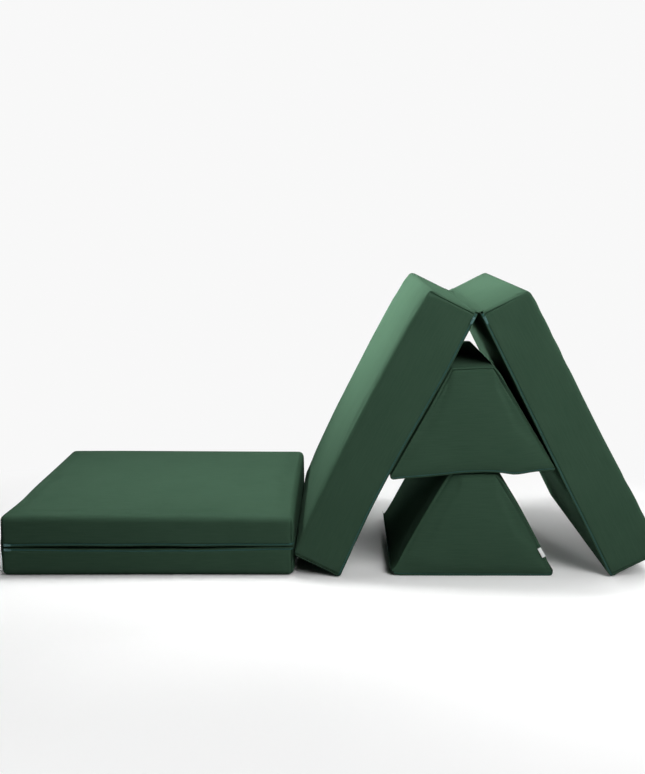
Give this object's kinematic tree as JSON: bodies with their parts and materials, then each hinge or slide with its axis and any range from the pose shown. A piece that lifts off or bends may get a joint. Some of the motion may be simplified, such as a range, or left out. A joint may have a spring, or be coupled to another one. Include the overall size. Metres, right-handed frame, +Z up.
{
  "type": "folding foam landing mat set",
  "caption": "Modular foam landing and play set: a thin folding mat, a thick folding mat stood up as an A-frame and stacked wedge blocks, each a foam core in a zip-off fabric cover.",
  "frame": {"origin": "bottom centre of the bounding box of the set as it stands on the floor", "axes": "+X along the row from the thin mat to the A-frame, +Y away from the viewer, +Z up"},
  "size_m": [1.8617, 0.8591, 0.8094],
  "materials": {
    "cover_fabric": "matte",
    "foam": "matte",
    "zip_tape": "satin",
    "zip_metal": "satin",
    "label": "matte"
  },
  "bodies": {
    "thin_lower": {"thin_lower_foam": "foam", "thin_lower_cover": "cover_fabric", "thin_lower_inner_sheet": "cover_fabric", "thin_lower_zip": "zip_tape", "thin_hinge_strip": "cover_fabric"},
    "thin_upper": {"thin_upper_foam": "foam", "thin_upper_cover": "cover_fabric", "thin_upper_inner_sheet": "cover_fabric", "thin_upper_zip": "zip_tape"},
    "thick_left": {"thick_left_foam": "foam", "thick_left_cover": "cover_fabric", "thick_left_inner_sheet": "cover_fabric", "thick_left_zip": "zip_tape", "thick_hinge_strip": "cover_fabric"},
    "thick_right": {"thick_right_foam": "foam", "thick_right_cover": "cover_fabric", "thick_right_inner_sheet": "cover_fabric", "thick_right_zip": "zip_tape"},
    "lower_wedge": {"lower_wedge_foam": "foam", "lower_wedge_cover": "cover_fabric", "lower_wedge_base_sheet": "cover_fabric", "lower_wedge_zip": "zip_tape", "lower_wedge_label": "label"},
    "upper_wedge": {"upper_wedge_foam": "foam", "upper_wedge_cover": "cover_fabric", "upper_wedge_base_sheet": "cover_fabric", "upper_wedge_zip": "zip_tape"},
    "thin_lower_slider": {"thin_lower_slider": "zip_metal"},
    "thin_lower_pull": {"thin_lower_pull": "zip_metal"},
    "thin_upper_slider": {"thin_upper_slider": "zip_metal"},
    "thin_upper_pull": {"thin_upper_pull": "zip_metal"},
    "thick_left_slider": {"thick_left_slider": "zip_metal"},
    "thick_left_pull": {"thick_left_pull": "zip_metal"},
    "thick_right_slider": {"thick_right_slider": "zip_metal"},
    "thick_right_pull": {"thick_right_pull": "zip_metal"},
    "lower_wedge_slider": {"lower_wedge_slider": "zip_metal"},
    "lower_wedge_pull": {"lower_wedge_pull": "zip_metal"},
    "upper_wedge_slider": {"upper_wedge_slider": "zip_metal"},
    "upper_wedge_pull": {"upper_wedge_pull": "zip_metal"}
  },
  "joints": [
    {"name": "thin_fold", "type": "hinge", "parent": "thin_lower", "child": "thin_upper", "pos_m": [-0.93066, 0.009, 0.0865], "axis": [0, -1, 0], "range_deg": [0, 180], "deforming": ["thin_hinge_strip"]},
    {"name": "thick_move", "type": "slide", "parent": "thin_lower", "child": "thick_left", "axis": [0, -1, 0], "range_m": [0, 0.9]},
    {"name": "thick_fold", "type": "hinge", "parent": "thick_left", "child": "thick_right", "pos_m": [0.425, -0.005, 0.74999], "axis": [0, -1, 0], "range_deg": [0, 126.4], "deforming": ["thick_hinge_strip"]},
    {"name": "lower_wedge_move", "type": "slide", "parent": "thick_left", "child": "lower_wedge", "axis": [0, -1, 0], "range_m": [0, 0.7]},
    {"name": "upper_wedge_move", "type": "slide", "parent": "thick_left", "child": "upper_wedge", "axis": [0, -1, 0], "range_m": [0, 0.7]},
    {"name": "thin_lower_zip_run", "type": "slide", "parent": "thin_lower", "child": "thin_lower_slider", "axis": [1, 0, 0], "range_m": [0, 0.78]},
    {"name": "thin_lower_pull_swing", "type": "hinge", "parent": "thin_lower_slider", "child": "thin_lower_pull", "pos_m": [-0.90966, -0.4146, 0.0794], "axis": [0, 0, -1], "range_deg": [0, 175]},
    {"name": "thin_upper_zip_run", "type": "slide", "parent": "thin_upper", "child": "thin_upper_slider", "axis": [1, 0, 0], "range_m": [0, 0.78]},
    {"name": "thin_upper_pull_swing", "type": "hinge", "parent": "thin_upper_slider", "child": "thin_upper_pull", "pos_m": [-0.90966, -0.4146, 0.0936], "axis": [0, 0, -1], "range_deg": [0, 175]},
    {"name": "thick_left_zip_run", "type": "slide", "parent": "thick_left", "child": "thick_left_slider", "axis": [-0.4509, 0, -0.8926], "range_m": [0, 0.78]},
    {"name": "thick_left_pull_swing", "type": "hinge", "parent": "thick_left_slider", "child": "thick_left_pull", "pos_m": [0.40919, -0.4286, 0.73445], "axis": [-0.8926, 0, 0.4509], "range_deg": [0, 175]},
    {"name": "thick_right_zip_run", "type": "slide", "parent": "thick_right", "child": "thick_right_slider", "axis": [0.4509, 0, -0.8926], "range_m": [0, 0.78]},
    {"name": "thick_right_pull_swing", "type": "hinge", "parent": "thick_right_slider", "child": "thick_right_pull", "pos_m": [0.44081, -0.4286, 0.73445], "axis": [-0.8926, 0, -0.4509], "range_deg": [0, 175]},
    {"name": "lower_wedge_zip_run", "type": "slide", "parent": "lower_wedge", "child": "lower_wedge_slider", "axis": [1, 0, 0], "range_m": [0, 0.38]},
    {"name": "lower_wedge_pull_swing", "type": "hinge", "parent": "lower_wedge_slider", "child": "lower_wedge_pull", "pos_m": [0.21678, 0.1646, 0.0056], "axis": [0, 0, 1], "range_deg": [0, 175]},
    {"name": "upper_wedge_zip_run", "type": "slide", "parent": "upper_wedge", "child": "upper_wedge_slider", "axis": [0.9994, 0, 0.035], "range_m": [0, 0.38]},
    {"name": "upper_wedge_pull_swing", "type": "hinge", "parent": "upper_wedge_slider", "child": "upper_wedge_pull", "pos_m": [0.21971, 0.1516, 0.30257], "axis": [-0.035, 0, 0.9994], "range_deg": [0, 175]}
  ]
}
